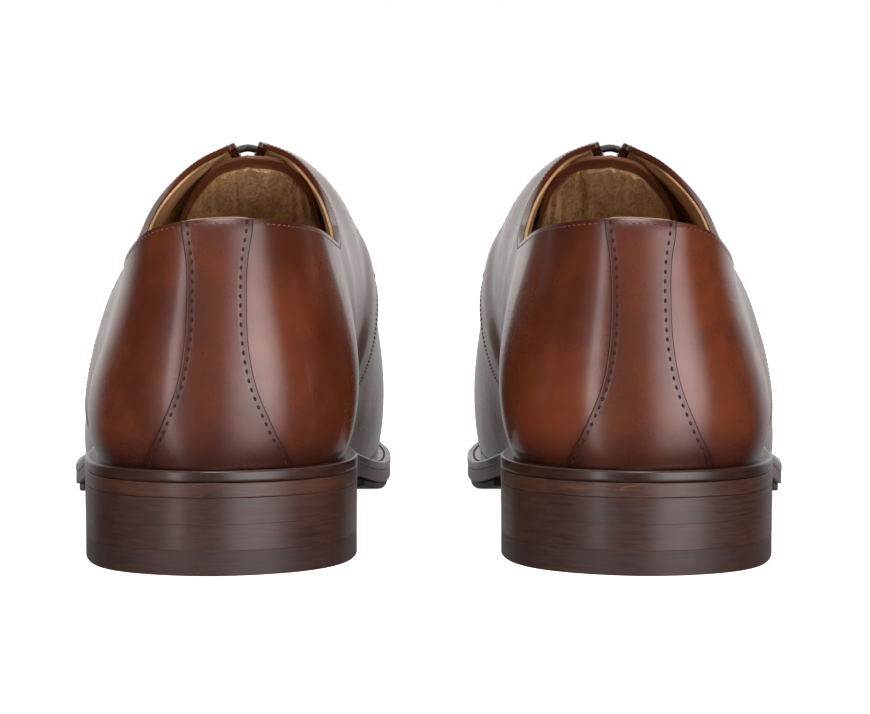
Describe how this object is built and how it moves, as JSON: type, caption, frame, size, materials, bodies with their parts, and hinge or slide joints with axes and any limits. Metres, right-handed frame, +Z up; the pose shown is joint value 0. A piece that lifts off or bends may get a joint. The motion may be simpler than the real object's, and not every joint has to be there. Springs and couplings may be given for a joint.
{
  "type": "pair of leather lace-up dress shoes",
  "caption": "Pair of polished brown leather lace-up dress shoes with open lacing, a back strip, lined tongues, welted leather soles and stacked heels.",
  "frame": {"origin": "on the floor, in the middle of the pair's footprint", "axes": "+Z up, +Y from the heels to the toes, +X from the left shoe to the right shoe"},
  "size_m": [0.2338, 0.3012, 0.1101],
  "materials": {
    "upper": "gloss",
    "lining": "matt",
    "welt": "satin",
    "heel_stack": "satin",
    "outsole": "satin",
    "top_lift": "matt",
    "sole_rubber": "matt",
    "cork": "matt",
    "insole": "matt",
    "stiffener": "matt",
    "shank_steel": "satin",
    "heel_pin": "satin",
    "lace": "waxed"
  },
  "bodies": {
    "left_shoe": {"left_back_strip": "upper", "left_cork_filler": "cork", "left_facing_stay_lateral": "stiffener", "left_facing_stay_medial": "stiffener", "left_half_sole": "sole_rubber", "left_heel_counter": "stiffener", "left_heel_lift_lower": "heel_stack", "left_heel_lift_upper": "heel_stack", "left_heel_lining": "lining", "left_heel_pin_1": "heel_pin", "left_heel_pin_2": "heel_pin", "left_heel_pin_3": "heel_pin", "left_heel_sock": "lining", "left_insole": "insole", "left_lace": "lace", "left_outsole": "outsole", "left_quarter_lateral": "upper", "left_quarter_lining_lateral": "lining", "left_quarter_lining_medial": "lining", "left_quarter_medial": "upper", "left_shank": "shank_steel", "left_toe_puff": "stiffener", "left_top_lift": "top_lift", "left_vamp": "upper", "left_vamp_lining": "lining", "left_welt": "welt"},
    "right_shoe": {"right_back_strip": "upper", "right_cork_filler": "cork", "right_facing_stay_lateral": "stiffener", "right_facing_stay_medial": "stiffener", "right_half_sole": "sole_rubber", "right_heel_counter": "stiffener", "right_heel_lift_lower": "heel_stack", "right_heel_lift_upper": "heel_stack", "right_heel_lining": "lining", "right_heel_pin_1": "heel_pin", "right_heel_pin_2": "heel_pin", "right_heel_pin_3": "heel_pin", "right_heel_sock": "lining", "right_insole": "insole", "right_lace": "lace", "right_outsole": "outsole", "right_quarter_lateral": "upper", "right_quarter_lining_lateral": "lining", "right_quarter_lining_medial": "lining", "right_quarter_medial": "upper", "right_shank": "shank_steel", "right_toe_puff": "stiffener", "right_top_lift": "top_lift", "right_vamp": "upper", "right_vamp_lining": "lining", "right_welt": "welt"},
    "left_tongue": {"left_tongue": "upper", "left_tongue_lining": "lining"},
    "right_tongue": {"right_tongue": "upper", "right_tongue_lining": "lining"}
  },
  "joints": [
    {"name": "right_shoe_lift", "type": "slide", "parent": "left_shoe", "child": "right_shoe", "axis": [0, 0, 1], "range_m": [0, 0.15]},
    {"name": "left_tongue_hinge", "type": "hinge", "parent": "left_shoe", "child": "left_tongue", "pos_m": [-0.05803, 0.05332, 0.054], "axis": [0.9987, 0.0506, 0], "range_deg": [0, 10]},
    {"name": "right_tongue_hinge", "type": "hinge", "parent": "right_shoe", "child": "right_tongue", "pos_m": [0.05803, 0.05332, 0.054], "axis": [0.9987, -0.0506, 0], "range_deg": [0, 10]}
  ]
}
